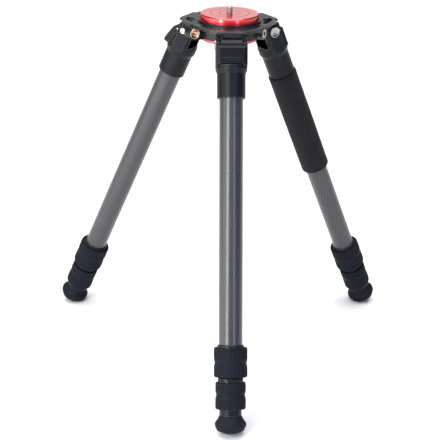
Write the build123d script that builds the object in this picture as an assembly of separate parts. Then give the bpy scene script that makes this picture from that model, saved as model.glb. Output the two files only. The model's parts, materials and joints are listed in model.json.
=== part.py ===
from build123d import *
import math
import os

# Three-legged camera stand: a flat mounting platform clamped in a three-armed spider, and three
# telescoping legs that swing on the spider, each with an angle tab, two twist locks and a foot.
# Millimetres, +Z up, origin at the centre of the platform's top face.
# Each leg is drawn in its own frame: x outward and square to the leg, y sideways, and the height
# is minus the distance t from the pivot down the leg.

# ---- stance ----
leg_azimuths = {"front": -90.0, "right": 30.0, "left": 150.0}
splay = 24.25            # leg axis from the vertical, first stop
pivot_out = 25.7         # leg pivot outside the spigot
pivot_drop = 33.7        # leg pivot below the platform face

# ---- platform ----
platform_r = 46.4
platform_rim = 9.4
rim_chamfer = 1.5
groove_radii = (16.3, 30.4)
groove_width = 0.9
groove_depth = 0.6
spigot_step = 1.5        # spigot narrower than the platform, each side
spigot_depth = 41.0      # bottom of the spigot below the platform face
spigot_wall = 4.4
platform_web = 8.0
stud_r = 4.76            # 3/8 inch screw, major radius
stud_height = 10.6
stud_fit = 0.08
stud_relief = 0.8        # undercut each side of the platform face, and its depth
stud_tip = 0.8
knob_gap = 0.3
knob_flutes = 12
flute_r = 2.0
knob_r = 13.0
knob_height = 9.0
clip_r = 7.4
clip_thickness = 1.0
clip_play = 0.1
clip_groove_depth = 0.8
clip_mouth = 3.0
spigot_chamfer = 0.8
coin_slot = (2.0, 18.0, 1.5)  # width, length, depth

# ---- spider ----
bore_fit = 0.07
collar_wall = 5.0
collar_bottom = 35.5
plate_top = 12.0
plate_thickness = 4.5
ring_out = 3.4           # round corners of the plate, outside the pivots
side_out = 20.6          # middle of each bowed side, outside the spigot
side_bow_r = 230.0
ring_width = 5.8
window_gap = 3.5         # collar to window
shoulder_reach = 5.9     # past the pivot
shoulder_chamfer = 1.0
shoulder_slope = (4.5, 3.4)   # width and drop of the shoulder's sloped ends
arm_half = 15.2
lug_r = 11.0
web_toe = (0.6, 0.8)     # lower front corner of the arm, as shares of the lug radius
rib_half = 7.0
rib_azimuths = (-27.0, 90.0)
slit_azimuth = -154.0
slit_width = 2.0
clamp_rib_half = 15.0
arm_flank = 0.8          # plate left each side of an arm
clamp_out = 20.1         # clamp screw outside the spigot
clamp_boss_r = 10.2
clamp_front = 8.3        # boss length each side of the slit, its front where the head is
clamp_back = 7.5
clamp_head_r = 8.3
clamp_head_height = 3.8
clamp_head_sink = 2.6
clamp_screw_r = 3.0
clamp_fit = 0.06
clamp_head_gap = 0.4     # recess round the head
hex_r = 2.9              # socket in the screws, corner radius
hex_depth = 2.6
clamp_head_chamfer = 0.7
clamp_end_gap = 1.0      # screw end short of the boss's far face
port_azimuth = -27.0
port_boss_r = 9.4
port_out = 15.1          # port face outside the spigot
port_bush_r = 6.6
port_bush_length = 10.0
port_thread_r = 3.97     # 3/8 inch thread, minor radius

# ---- leg crown ----
cheek_wall = 8.3
arm_fit = 0.5            # arm to cheek, each side
fork_inner = 16.5        # cheek edge on the inner side of the leg
fork_bevel = (4.0, 6.0)  # corner taken off that edge, along x and y
crown_clear = 0.6        # crown top below the spider plate as it swings
crown_back = 0.54        # where the cheek's round top ends, as a share of its radius
cheek_shoulder = 8.5
barrel_wall = 2.5        # outside the socket
barrel_top_wall = 3.0    # outside the tube, at its top; it widens down to barrel_full
barrel_full = 29.0
barrel_end = 38.0
barrel_chamfer = 7.0
corner_start = 24.0      # where the square corners begin to fade into the barrel
socket_wall = 3.7        # outside the tube
socket_length = 37.0
socket_floor = 3.0
socket_edge = 0.6
corner_spare = 0.5
slot_lip = (-25.0, 18.0)
slot_heel = (-12.3, 33.5)
slot_back = 4.5
slot_back_top = 14.5
pivot_r = 4.5
pivot_fit = 0.05
pivot_head_r = 8.5
pivot_head_height = 1.7
pivot_head_edge = 0.6
pivot_thread_r = 3.0
pivot_thread_length = 12.0
pivot_end_r = 3.2        # plain end of the pivot, on the y > 0 side
pivot_end_height = 0.6
pivot_end_gap = 0.2
washer_r = 10.0
washer_play = 0.05
seat_r = 6.2
pocket_x = -2.0          # inner end of the room for the tab, above the pivot
pocket_slope = (3.0, 6.0)    # heights where its slanted wall starts and ends
pin_seat = 0.5           # how far the tab pins start and stop inside the cheeks

# ---- angle tab ----
tab_end = 32.5
tab_ledge = 0.6          # tab end to the ledge under it
tab_pin_x = 9.8
tab_pin_t = 1.5
tab_pin_r = 1.3
tab_pin_fit = 0.05
knuckle_r = 2.3
tab_gap = 0.3
tab_wall = 3.5
tab_edge_x = 16.3        # outer face at the tab's side edges
tab_face_x = 19.3        # outer face in the middle
tab_side_bevel = 6.0     # face narrower than the fork, each side
tab_side_play = 0.1      # tab narrower than the fork, each side
tab_overswing = 3.0      # room past the open stop, degrees
tab_root = 3.0           # side walls reach this far behind the lap, above root_t
root_t = 12.5
nose_stand = 0.1
brow_t = (3.9, -0.4)     # heights of the slope from the nose to the face
brow_slope = 1.2
pad_depth = 3.0
pad_top = 3.5
knuckle_gap = 0.4
tab_lap_x = 7.0
tab_nose_x = 12.5
tab_open = 15.0          # swing of the tab from closed to open
open_tabs = ("left",)
thumb_top = 21.8
thumb_margin = 10.0      # notch narrower than the fork, each side
thumb_sag = 3.8
thumb_depth = 1.8

# ---- leg tubes ----
tube_r = 18.0            # upper tube, outside
tube_wall = 1.92
tube_fit = 0.08          # radial clearance of each tube in the one outside it
upper_length = 372.0     # bare upper tube, from the crown to its ferrule
middle_inset = 14.0      # how far each inner tube stops short of the one outside it, at the top
grip_wall = 5.7
grip_length = 194.0
grip_gap = 2.0
grip_fit = 0.05
grip_round = 4.6
grip_edge = 1.0
grip_leg = "right"

# ---- twist locks ----
ferrule_lip = 3.3
ferrule_lip_out = 2.4    # outside the tube
ferrule_edge = 1.4
ferrule_thread = 1.9     # thread stands this far out of the tube
thread1_length = 27.0
thread2_length = 22.0
tube_in_thread = 0.7     # share of the thread that has the tube's end inside it
thread_fit = 0.1
lock_gap = 0.5
collar1_wall = 7.5       # outside the upper tube
collar1_length = 44.7
collar1_waist = 23.4
collar2_wall = 7.1       # outside the middle tube
collar2_length = 40.5
collar2_waist = 19.0
collar_end_step = 2.0
collar_end_length = 5.5   # the slope at each end of a collar
collar_barrel = 0.3      # the grip bands are this much fuller in the middle
collar_mouth = (3.0, 6.0)    # heights of the collar's lower bore and of the cone that meets the collet
waist_depth = 1.2
waist_half = 4.5
neck_fit = 0.3
collet_wall = 1.5
collet_length = 18.0
collet_slit = 2.0
collet_play = 0.05
collet_nose = (1.5, 0.8)     # length and narrowing of the cone at its lower end
collet_end = (6.0, 6.5)      # from the collar's end: where a full length would stop, and the true end
section_gap = 0.7        # between a collar and the next section's ferrule when collapsed
ferrule2_neck = 6.3
ferrule2_wall = 3.5      # outside the middle tube
ferrule2_notches = 12
ferrule2_notch = (1.6, 2.4, 3.0)   # depth both ways, width, height

# ---- foot ----
plug_wall = 2.7          # outside the lower tube
plug_neck = 8.8
plug_depth = 28.0
plug_stud_r = 5.0
plug_stud_length = 14.0
foot_length = 29.0
foot_rim_out = 9.7       # outside the lower tube
foot_rim_t = 11.0
foot_band = 6.0
foot_neck = 0.4
foot_edge = 0.6
foot_draft = 0.2
foot_taper_out = 5.9
foot_taper = 6.0

# ---- places worked out from the sizes above ----
spigot_r = platform_r - spigot_step
pivot_radius = spigot_r + pivot_out
ring_r = pivot_radius + ring_out
side_reach = spigot_r + side_out
clamp_centre_r = spigot_r + clamp_out
port_reach = spigot_r + port_out
bore_r = spigot_r + bore_fit
collar_r = bore_r + collar_wall
plate_under = plate_top + plate_thickness
crown_top_r = pivot_drop - plate_under - crown_clear
socket_start = barrel_end + barrel_chamfer
socket_end = socket_start + socket_length
tube1_start = socket_start + socket_floor
lock1_top = socket_end + upper_length
collar1_top = lock1_top + ferrule_lip + lock_gap
collar1_end = collar1_top + collar1_length
tube1_end = lock1_top + ferrule_lip + tube_in_thread * thread1_length
lock2_top = collar1_end + section_gap
collar2_top = lock2_top + ferrule2_neck + lock_gap
collar2_end = collar2_top + collar2_length
tube2_end = lock2_top + ferrule2_neck + tube_in_thread * thread2_length
neck_top = collar2_end + section_gap
foot_top = neck_top + plug_neck
middle_r = tube_r - tube_wall - tube_fit
lower_r = middle_r - tube_wall - tube_fit
socket_r = tube_r + socket_wall
barrel_r = socket_r + barrel_wall
barrel_top_r = tube_r + barrel_top_wall
grip_r = tube_r + grip_wall
ferrule_lip_r = tube_r + ferrule_lip_out
collar1_r = tube_r + collar1_wall
collar2_r = middle_r + collar2_wall
ferrule2_r = middle_r + ferrule2_wall
plug_r = lower_r + plug_wall
foot_rim_r = lower_r + foot_rim_out
foot_taper_r = lower_r + foot_taper_out
slot_half = arm_half + arm_fit
fork_half = slot_half + cheek_wall
tab_face_half = fork_half - tab_side_bevel
thumb_half = fork_half - thumb_margin
ledge_t = tab_end + tab_ledge
cheek_lap = slot_half + tab_wall + 1.0
far_x = 60.0             # beyond the crown on either side
clamp_depth = collar_bottom - clamp_boss_r
port_depth = collar_bottom - port_boss_r
side_azimuths = [azimuth + 180 for azimuth in leg_azimuths.values()]


def turned(points):
    """Solid of revolution about the leg axis from (radius, t) points."""
    outline = Polyline(*[(r, 0, -t) for r, t in points], close=True)
    return revolve(make_face(outline), Axis.Z, 360)


def slab(points, low, high):
    """Plate across the leg from y = low to y = high, from (x, t) points."""
    outline = Polyline(*[(x, low, -t) for x, t in points], close=True)
    return extrude(make_face(outline), high - low, dir=(0, 1, 0))


def cross_rod(x, t, radius, low, high):
    """Cylinder across the leg from y = low to y = high."""
    return Pos(x, (low + high) / 2, -t) * Rot(90, 0, 0) * Cylinder(radius, high - low)


def both_sides(make, low, high):
    """The same piece on both sides of the leg's middle plane."""
    return make(low, high) + make(-high, -low)


def on_leg(shape, azimuth):
    """Takes a shape from the leg's frame to the object's frame."""
    return Rot(0, 0, azimuth) * Pos(pivot_radius, 0, -pivot_drop) * Rot(0, -splay, 0) * shape


def disc(radius, top, bottom):
    """Upright cylinder between two depths below the platform face."""
    return Pos(0, 0, -(top + bottom) / 2) * Cylinder(radius, bottom - top)


def sleeve(inner, outer, top, bottom):
    """Upright ring between two depths below the platform face."""
    return disc(outer, top, bottom) - disc(inner, top - 1, bottom + 1)


# ---------------------------------------------------------------- platform

def make_platform():
    rim = disc(platform_r, 0, platform_rim)
    rim = chamfer(rim.edges().group_by(Axis.Z)[-1], rim_chamfer)
    body = rim + disc(spigot_r, platform_rim, spigot_depth)
    body = chamfer(body.edges().group_by(Axis.Z)[0], spigot_chamfer)
    body -= disc(spigot_r - spigot_wall, platform_web, spigot_depth + 1)
    body -= disc(stud_r + stud_fit, -1, platform_web + 1)
    body -= disc(clip_r + 0.2, platform_web - clip_thickness - 0.2, platform_web + 1)
    for radius in groove_radii:
        body -= sleeve(radius - groove_width / 2, radius + groove_width / 2, -1, groove_depth)
    return body


def make_platform_screw():
    """Stud with an undercut at the platform face, a groove for the clip, and a fluted knob."""
    knob_top = platform_web + knob_gap
    screw = disc(stud_r, -stud_height, knob_top + knob_height)
    screw = chamfer(screw.edges().group_by(Axis.Z)[-1], stud_tip)
    screw += disc(knob_r, knob_top, knob_top + knob_height)
    for step in range(knob_flutes):
        flute = Pos(knob_r + flute_r / 2, 0, 0) * disc(flute_r, knob_top - 1, knob_top + knob_height + 1)
        screw -= Rot(0, 0, step * 360 / knob_flutes) * flute
    width, length, depth = coin_slot
    screw -= Pos(0, 0, -knob_top - knob_height) * Box(width, length, 2 * depth)
    screw -= sleeve(stud_r - stud_relief, stud_r + 1, -stud_relief, stud_relief)
    return screw - sleeve(stud_r - clip_groove_depth, stud_r + 1, platform_web - clip_thickness - clip_play,
                          platform_web - clip_play)


def make_screw_clip():
    """Open ring that holds the screw in the platform."""
    top = platform_web - clip_thickness - clip_play / 2
    ring = sleeve(stud_r - clip_groove_depth + clip_play / 2, clip_r, top, top + clip_thickness - clip_play)
    return ring - Pos(clip_r, 0, -top) * Box(2 * clip_r, clip_mouth, 4 * clip_thickness)


# ---------------------------------------------------------------- spider

def plate(inset, top, bottom):
    """Three-cornered plate with bowed sides between the legs, drawn inside its full edge by inset."""
    shape = disc(ring_r - inset, top, bottom)
    for azimuth in side_azimuths:
        bow = Pos(side_reach - side_bow_r, 0, 0) * disc(side_bow_r - inset, top, bottom)
        shape &= Rot(0, 0, azimuth) * bow
    return shape


def radial_bar(half_width):
    """Straight bar outward from the axis at azimuth 0, used to keep ribs in the plate's windows."""
    return Pos(ring_r / 2, 0, -plate_top) * Box(ring_r, 2 * half_width, 4 * plate_thickness)


def spider_arm():
    """Web and pivot lug of one arm, in the plane of azimuth 0."""
    web = Polyline((bore_r + collar_wall / 2, 0, -plate_under + 1),
                   (pivot_radius, 0, -plate_under + 1),
                   (pivot_radius, 0, -pivot_drop - lug_r),
                   (pivot_radius - lug_r * web_toe[0], 0, -pivot_drop - lug_r * web_toe[1]),
                   (bore_r + collar_wall / 2, 0, -collar_bottom), close=True)
    arm = extrude(make_face(web), arm_half, both=True, dir=(0, 1, 0))
    lug = Pos(pivot_radius, 0, -pivot_drop) * Rot(90, 0, 0) * Cylinder(lug_r, 2 * arm_half)
    return arm + lug


def spider_shoulder():
    """Flat step over one fork, which the angle tab's noses meet; its ends slope down."""
    reach = pivot_radius + shoulder_reach
    step = Pos((reach + ring_r / 2) / 2, 0, -plate_top - plate_thickness / 2) * Box(
        reach - ring_r / 2, 2 * fork_half, plate_thickness)
    step = chamfer(step.edges().filter_by(Axis.Y).group_by(Axis.X)[-1], shoulder_chamfer)
    run, drop = shoulder_slope
    for side in (-1, 1):
        corner = Polyline((0, side * (fork_half - run), -plate_top), (0, side * fork_half, -plate_top - drop),
                          (0, side * (fork_half + run), -plate_top - drop),
                          (0, side * (fork_half + run), -plate_top), close=True)
        step -= extrude(make_face(corner), reach + ring_r, dir=(1, 0, 0))
    return step


def clamp_frame(shape):
    """Puts a shape drawn along +Y at the clamp, with y measured from the slit."""
    return Rot(0, 0, slit_azimuth) * Pos(clamp_centre_r, 0, -clamp_depth) * shape


def make_spider():
    body = plate(0, plate_top, plate_under)
    for azimuth in leg_azimuths.values():
        body += Rot(0, 0, azimuth) * spider_shoulder()
    window = plate(ring_width, plate_top - 1, plate_under + 1)
    window -= disc(collar_r + window_gap, plate_top - 2, plate_under + 2)
    for azimuth in leg_azimuths.values():
        window -= Rot(0, 0, azimuth) * radial_bar(arm_half + arm_flank)
    for azimuth in rib_azimuths:
        window -= Rot(0, 0, azimuth) * radial_bar(rib_half)
    window -= Rot(0, 0, slit_azimuth) * radial_bar(clamp_rib_half)
    body -= window
    for azimuth in leg_azimuths.values():
        body += Rot(0, 0, azimuth) * spider_arm()
    body += disc(collar_r, platform_rim, collar_bottom)
    body += clamp_boss()
    port = Pos((port_reach + bore_r) / 2, 0, -port_depth) * Rot(0, 90, 0) * Cylinder(
        port_boss_r, port_reach - bore_r)
    body += Rot(0, 0, port_azimuth) * port
    body -= disc(bore_r, -1, spigot_depth)
    body -= clamp_openings()
    bush_hole = Pos(port_reach - port_bush_length / 2, 0, -port_depth) * Rot(0, 90, 0) * Cylinder(
        port_bush_r, port_bush_length)
    body -= Rot(0, 0, port_azimuth) * bush_hole
    for azimuth in leg_azimuths.values():
        pivot_hole = Pos(pivot_radius, 0, -pivot_drop) * Rot(90, 0, 0) * Cylinder(
            pivot_r + pivot_fit, 2 * arm_half + 2)
        body -= Rot(0, 0, azimuth) * pivot_hole
    return body


def clamp_boss():
    """Round boss across the slit, and the neck that joins it to the collar."""
    length = clamp_front + clamp_back
    middle = (clamp_front - clamp_back) / 2
    neck_length = clamp_centre_r - bore_r
    boss = Pos(0, middle, 0) * Rot(90, 0, 0) * Cylinder(clamp_boss_r, length)
    neck = Pos(-neck_length / 2, middle, 0) * Box(neck_length, length, 2 * clamp_boss_r)
    return clamp_frame(boss) + clamp_frame(neck)


def clamp_openings():
    """The slit, the clamp screw's hole and the recess for its head."""
    length = clamp_front + clamp_back
    slit = Pos((ring_r + bore_r) / 2, 0, -plate_top) * Box(ring_r, slit_width, 2 * spigot_depth)
    middle = (clamp_front - clamp_back) / 2
    hole = Pos(0, middle, 0) * Rot(90, 0, 0) * Cylinder(clamp_screw_r + clamp_fit, length + 2)
    recess = Pos(0, clamp_front, 0) * Rot(90, 0, 0) * Cylinder(clamp_head_r + clamp_head_gap, 2 * clamp_head_sink)
    return Rot(0, 0, slit_azimuth) * slit + clamp_frame(hole + recess)


def hex_socket(depth):
    """Hexagon hole along Z, half of its length each way."""
    return extrude(RegularPolygon(hex_r, 6), depth, both=True)


def make_clamp_screw():
    seat = clamp_front - clamp_head_sink
    head = Pos(0, seat + clamp_head_height / 2, 0) * Rot(90, 0, 0) * Cylinder(clamp_head_r, clamp_head_height)
    head = chamfer(head.edges().group_by(Axis.Y)[-1], clamp_head_chamfer)
    shank_length = clamp_back + seat - clamp_end_gap
    shank = Pos(0, seat - shank_length / 2, 0) * Rot(90, 0, 0) * Cylinder(clamp_screw_r, shank_length)
    socket = Pos(0, seat + clamp_head_height, 0) * Rot(90, 0, 0) * hex_socket(hex_depth)
    return clamp_frame(head + shank - socket)


def make_port_bush():
    bush = Rot(0, 90, 0) * Cylinder(port_bush_r, port_bush_length)
    bush -= Rot(0, 90, 0) * Cylinder(port_thread_r, port_bush_length + 1)
    bush = Pos(port_reach - port_bush_length / 2, 0, -port_depth) * bush
    return Rot(0, 0, port_azimuth) * bush


# ---------------------------------------------------------------- crown of one leg

def cheek_outline():
    """Side view of the fork, in (x, t) turned to (x, height)."""
    front_t = math.sqrt(crown_top_r ** 2 - tab_pin_x ** 2)
    back_x = -crown_back * crown_top_r
    back_t = math.sqrt(crown_top_r ** 2 - back_x ** 2)
    knuckle_x = tab_pin_x + knuckle_r
    top = ThreePointArc((tab_pin_x, 0, front_t), (0, 0, crown_top_r), (back_x, 0, back_t))
    rest = Polyline((back_x, 0, back_t), (-fork_inner, 0, cheek_shoulder), (-fork_inner, 0, -barrel_end),
                    (knuckle_x, 0, -barrel_end), (knuckle_x, 0, -tab_pin_t), (tab_pin_x, 0, -tab_pin_t),
                    (tab_pin_x, 0, front_t))
    return make_face(top + rest)


def crown_plan():
    """The fork seen down the leg: square to the front, with its two inner corners taken off."""
    inward, across = fork_bevel
    front = 2 * barrel_r
    plan = Polyline((-fork_inner, fork_half - across), (-fork_inner + inward, fork_half), (front, fork_half),
                    (front, -fork_half), (-fork_inner + inward, -fork_half),
                    (-fork_inner, -fork_half + across), close=True)
    return extrude(make_face(plan), 2 * socket_end, both=True)


def crown_shape():
    body = extrude(cheek_outline(), fork_half, both=True, dir=(0, 1, 0)) & crown_plan()
    body += turned([(0, slot_back_top), (barrel_top_r, slot_back_top), (barrel_r, barrel_full),
                    (barrel_r, socket_start + 1), (0, socket_start + 1)])
    body += turned([(0, socket_start), (socket_r, socket_start), (socket_r, socket_end - socket_edge),
                    (socket_r - socket_edge, socket_end), (0, socket_end)])
    corner_r = math.hypot(fork_half, fork_inner) + corner_spare
    high = -2 * crown_top_r
    body &= turned([(0, high), (corner_r, high), (corner_r, corner_start), (barrel_r, barrel_end),
                    (socket_r, socket_start), (socket_r, socket_end), (0, socket_end)])
    knuckle_x = tab_pin_x + knuckle_r
    body -= slab([(knuckle_x, high), (knuckle_x, ledge_t), (far_x, ledge_t), (far_x, high)],
                 -2 * fork_half, 2 * fork_half)
    body += both_sides(lambda low, high_y: cross_rod(tab_pin_x, tab_pin_t, knuckle_r, low, high_y),
                       slot_half, cheek_lap)
    # slot for the spider's arm, open at the top and on the inner side
    slope = (slot_heel[1] - slot_lip[1]) / (slot_heel[0] - slot_lip[0])
    mouth_x = -far_x
    mouth_t = slot_lip[1] + slope * (mouth_x - slot_lip[0])
    body -= slab([(mouth_x, high), (mouth_x, mouth_t), slot_heel, (slot_back, slot_heel[1]),
                  (slot_back, slot_back_top), (far_x, slot_back_top), (far_x, high)], -slot_half, slot_half)

    # room for the tab's side walls, around a round seat under each pivot screw
    def side_pocket(low, high_y):
        back = tab_lap_x - tab_ledge
        pocket = slab([(pocket_x, high), (pocket_x, -pocket_slope[0]), (back, pocket_slope[1]), (back, ledge_t),
                       (far_x, ledge_t), (far_x, high)], low, high_y)
        return pocket - cross_rod(0, 0, seat_r, low - 1, high_y + 1)

    body -= both_sides(side_pocket, cheek_lap, fork_half + 1)
    body -= cross_rod(0, 0, pivot_r, -fork_half - 1, fork_half + 1)
    body -= both_sides(lambda low, high_y: cross_rod(tab_pin_x, tab_pin_t, tab_pin_r, low, high_y),
                       slot_half + pin_seat, fork_half + 1)
    body -= turned([(0, tube1_start), (tube_r, tube1_start), (tube_r, socket_end + 1), (0, socket_end + 1)])
    return body


def pivot_axle():
    axle = cross_rod(0, 0, pivot_r, -fork_half + pivot_end_gap, fork_half - pivot_end_gap)
    for side in (-1, 1):
        end = side * fork_half
        inner = side * (fork_half - pivot_thread_length - 1)
        axle -= cross_rod(0, 0, pivot_thread_r, min(end, inner), max(end, inner))
    return axle


def pivot_screw():
    """Shallow domed screw with a hexagon socket, on the side y < 0."""
    head = cross_rod(0, 0, pivot_head_r, -fork_half - pivot_head_height, -fork_half)
    head = chamfer(head.edges().group_by(Axis.Y)[0], pivot_head_edge)
    shank = cross_rod(0, 0, pivot_thread_r, -fork_half, -fork_half + pivot_thread_length)
    return head + shank - Pos(0, -fork_half - pivot_head_height, 0) * Rot(90, 0, 0) * hex_socket(hex_depth - 1)


def pivot_end():
    """Plain plug in the axle's other end, on the side y > 0."""
    plug = cross_rod(0, 0, pivot_thread_r, fork_half - pivot_thread_length, fork_half - pivot_end_gap)
    return plug + cross_rod(0, 0, pivot_end_r, fork_half - pivot_end_gap, fork_half + pivot_end_height)


def pivot_washers():
    def washer(low, high):
        return cross_rod(0, 0, washer_r, low, high) - cross_rod(0, 0, pivot_r, low - 1, high + 1)
    return both_sides(washer, arm_half + washer_play, slot_half)


# ---------------------------------------------------------------- angle tab of one leg

def tab_shape():
    edge_y = fork_half - tab_side_play
    body = slab(tab_profile(), -edge_y, edge_y) + tab_pad(edge_y)
    wall_y = cheek_lap + tab_gap
    knuckle_x = tab_pin_x + knuckle_r + knuckle_gap
    body -= slab([(-far_x, -far_x), (-far_x, far_x), (knuckle_x, far_x), (knuckle_x, -1), (far_x, -1),
                  (far_x, -far_x)], -wall_y, wall_y)
    # the side walls pass round the seats of the pivot screws through the whole swing
    for share in (0, 0.5, 1):
        angle = math.radians(share * (tab_open + tab_overswing))
        x = tab_pin_x - tab_pin_x * math.cos(angle) + tab_pin_t * math.sin(angle)
        t = tab_pin_t - tab_pin_t * math.cos(angle) - tab_pin_x * math.sin(angle)
        body -= cross_rod(x, t, seat_r + tab_gap, -fork_half - 1, fork_half + 1)
    body -= cross_rod(tab_pin_x, tab_pin_t, tab_pin_r + tab_pin_fit, -fork_half - 1, fork_half + 1)
    thumb_r = (thumb_half ** 2 + thumb_sag ** 2) / (2 * thumb_sag)
    thumb = Pos(tab_face_x, 0, -(thumb_top + thumb_sag - thumb_r)) * Rot(0, 90, 0) * Cylinder(
        thumb_r, 2 * thumb_depth)
    below = Pos(tab_face_x, 0, -thumb_top - thumb_half) * Box(thumb_half, 3 * thumb_half, 2 * thumb_half)
    return body - (thumb & below)


def tab_profile():
    """Side view of the tab, from its nose round the outside and back up the side walls' inner edge."""
    nose_top = math.sqrt((crown_top_r + nose_stand) ** 2 - tab_nose_x ** 2)
    root_x = tab_lap_x - tab_root
    return [(tab_nose_x, -nose_top), (tab_nose_x, -brow_t[0]), (tab_edge_x, -brow_t[1]),
            (tab_edge_x - 0.4, tab_end - 2.5), (tab_edge_x - 3.5, tab_end), (tab_lap_x + 2, tab_end - 0.6),
            (tab_lap_x, tab_end - 3), (tab_lap_x, pocket_slope[1]), (tab_lap_x, -pocket_slope[1]),
            (root_x, -root_t), (root_x, -math.sqrt(crown_top_r ** 2 - root_x ** 2))]


def tab_pad(edge_y):
    """The raised face that a thumb presses, bevelled on all four sides."""
    face = Polyline((tab_edge_x - pad_depth, edge_y), (tab_edge_x, edge_y), (tab_face_x, tab_face_half),
                    (tab_face_x, -tab_face_half), (tab_edge_x, -edge_y), (tab_edge_x - pad_depth, -edge_y),
                    close=True)
    pad = extrude(Pos(0, 0, -tab_end) * make_face(face), tab_end - pad_depth)
    brow_end = pad_top + brow_slope * (tab_face_x - tab_edge_x)
    return pad & slab([(0, pad_top), (tab_edge_x - 0.2, pad_top), (tab_face_x, brow_end),
                       (tab_face_x, tab_end - 2.2), (tab_face_x - 2.5, tab_end), (0, tab_end)],
                      -fork_half, fork_half)


def open_tab(shape):
    """Swings a closed tab outward about its pins."""
    return Pos(tab_pin_x, 0, -tab_pin_t) * Rot(0, -tab_open, 0) * Pos(-tab_pin_x, 0, tab_pin_t) * shape


def tab_pins():
    return both_sides(lambda low, high: cross_rod(tab_pin_x, tab_pin_t, tab_pin_r, low, high),
                      slot_half + pin_seat, fork_half - pin_seat)


# ---------------------------------------------------------------- tubes and locks of one leg

def tube(outer, start, end):
    inner = outer - tube_wall
    return turned([(inner, start), (outer, start), (outer, end), (inner, end)])


def ferrule(inner, lip_r, top, lip_length, thread_r, thread_length):
    """Collar glued on a tube's end: a visible lip, then the thread that the lock turns on."""
    lip_end = top + lip_length
    end = lip_end + thread_length
    return turned([(inner, top), (lip_r - ferrule_edge, top), (lip_r, top + ferrule_edge), (lip_r, lip_end),
                   (thread_r, lip_end), (thread_r, end), (inner, end)])


def lock_collar(outer, top, length, waist, thread_r, bore, thread_bottom):
    """Twist lock: two grip bands parted by a waist, threaded above and conical below."""
    end = top + length
    centre = top + waist
    inside = thread_r + thread_fit
    brim = outer - collar_end_step
    shoulder = outer - collar_barrel
    return turned([(inside, top), (brim, top), (shoulder, top + collar_end_length), (outer, centre - waist_half),
                   (outer - waist_depth, centre), (outer, centre + waist_half),
                   (shoulder, end - collar_end_length), (brim, end), (bore + neck_fit, end),
                   (bore + neck_fit, end - collar_mouth[0]),
                   (bore + collet_wall + neck_fit + thread_fit, end - collar_mouth[1]), (inside, thread_bottom)])


def collet(bore, start, end):
    """Split plastic sleeve that the lock squeezes on the tube inside it."""
    inner = bore + collet_play
    outer = bore + collet_wall
    cone, nip = collet_nose
    body = turned([(inner, start), (outer, start), (outer, end - cone), (outer - nip, end), (inner, end)])
    return body - Pos(bore, 0, -(start + end) / 2) * Box(2 * bore, collet_slit, end - start + 2)


def second_ferrule():
    body = ferrule(middle_r, ferrule2_r, lock2_top, ferrule2_neck, middle_r + ferrule_thread, thread2_length)
    for step in range(ferrule2_notches):
        notch = Pos(ferrule2_r, 0, -lock2_top - ferrule2_neck / 2) * Box(*ferrule2_notch)
        body -= Rot(0, 0, step * 360 / ferrule2_notches) * notch
    return body


def foot_plug():
    inner = lower_r - tube_wall
    tube_end = neck_top
    return turned([(0, tube_end - plug_depth), (inner, tube_end - plug_depth), (inner, tube_end),
                   (plug_r, tube_end), (plug_r, foot_top), (plug_stud_r, foot_top),
                   (plug_stud_r, foot_top + plug_stud_length), (0, foot_top + plug_stud_length)])


def foot_shape():
    end = foot_top + foot_length
    band_top = foot_top + foot_rim_t
    band_end = band_top + foot_band
    taper_end = band_end + foot_taper
    side = Polyline((0, 0, -foot_top), (plug_r + foot_neck, 0, -foot_top),
                    (foot_rim_r - foot_edge, 0, -band_top + 2 * foot_edge), (foot_rim_r, 0, -band_top),
                    (foot_rim_r - foot_draft, 0, -band_end), (foot_taper_r, 0, -taper_end))
    height = end - taper_end
    dome_r = (foot_taper_r ** 2 + height ** 2) / (2 * height)
    half_turn = math.asin(foot_taper_r / dome_r) / 2
    dome = ThreePointArc((foot_taper_r, 0, -taper_end),
                         (dome_r * math.sin(half_turn), 0, dome_r - end - dome_r * math.cos(half_turn)),
                         (0, 0, -end))
    middle = Line((0, 0, -end), (0, 0, -foot_top))
    body = revolve(make_face(side + dome + middle), Axis.Z, 360)
    return body - turned([(0, foot_top - 1), (plug_stud_r, foot_top - 1),
                          (plug_stud_r, foot_top + plug_stud_length), (0, foot_top + plug_stud_length)])


def grip_shape():
    """Foam sleeve on the upper tube, well rounded at its lower end."""
    start = socket_end + grip_gap
    grip = turned([(tube_r + grip_fit, start), (grip_r, start), (grip_r, start + grip_length),
                   (tube_r + grip_fit, start + grip_length)])
    rims = grip.edges().filter_by(GeomType.CIRCLE).sort_by(SortBy.RADIUS)[-2:].sort_by(Axis.Z)
    grip = fillet(rims[0], grip_round)
    top = grip.edges().filter_by(GeomType.CIRCLE).group_by(Axis.Z)[-1].sort_by(SortBy.RADIUS)[-1]
    return fillet(top, grip_edge)


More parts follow.
